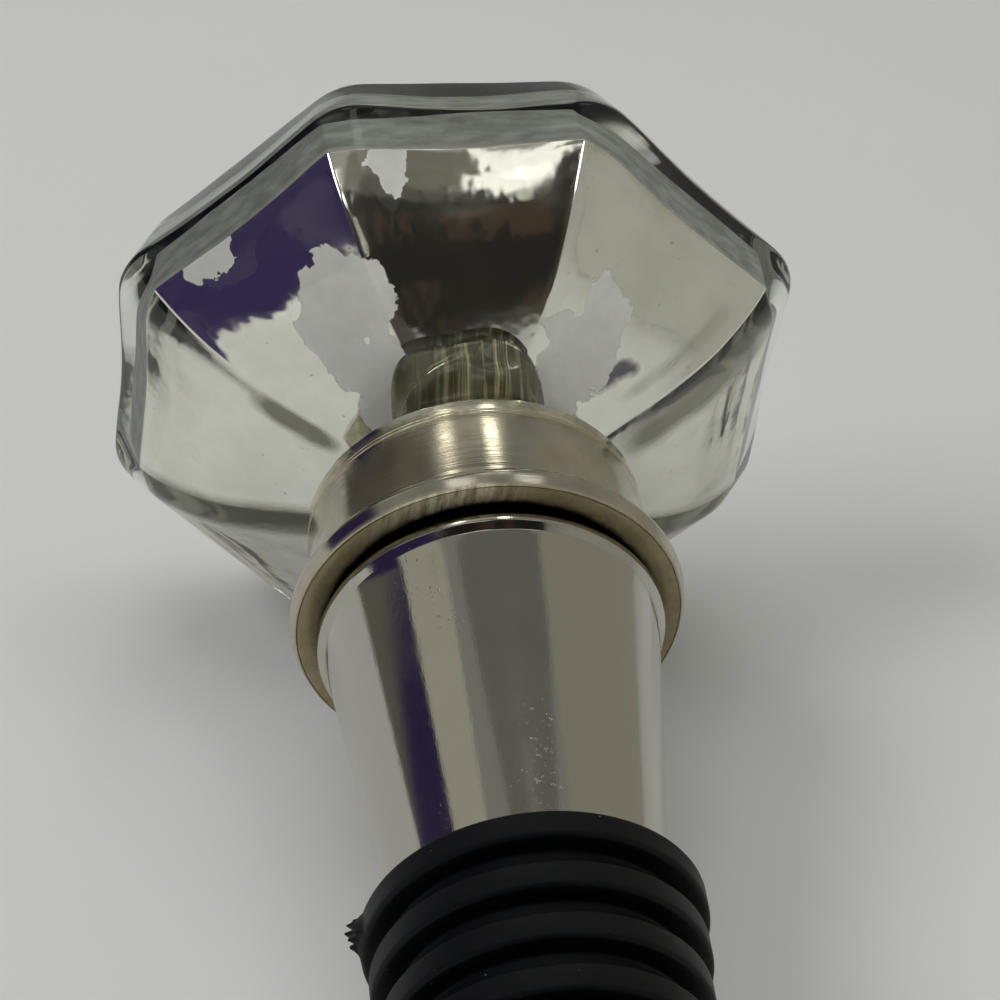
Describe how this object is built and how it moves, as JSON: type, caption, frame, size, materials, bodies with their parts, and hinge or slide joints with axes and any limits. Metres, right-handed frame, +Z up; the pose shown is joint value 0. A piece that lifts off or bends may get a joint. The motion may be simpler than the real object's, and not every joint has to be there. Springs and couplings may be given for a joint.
{
  "type": "bottle stopper with glass knob",
  "caption": "Bottle stopper: faceted glass knob, silvered inside, cemented in a flared metal collar on a polished tapered plug with a ribbed rubber seal.",
  "frame": {"origin": "centre of the bounding box at the surface that the stopper lies on", "axes": "+Z up; the stopper's own axis lies in the YZ plane and leans up towards +Y by 12.6 degrees, knob towards +Y and seal towards -Y; +X across"},
  "size_m": [0.0452, 0.0748, 0.0441],
  "materials": {
    "glass": "clear pressed glass, faint grey-green in the thickness",
    "cement": "dull yellowish bedding plaster",
    "collar_metal": "worn nickel plate on brass, turned lines, tarnished brown inside the lip",
    "stud_metal": "plain steel thread",
    "plug_metal": "polished plate with fine scratches",
    "rubber": "matt black moulded rubber"
  },
  "bodies": {
    "root": {"glass_knob": "glass", "bedding_cement": "cement", "collar": "collar_metal", "threaded_stud": "stud_metal", "plug_taper": "plug_metal", "rubber_seal": "rubber"}
  },
  "joints": []
}
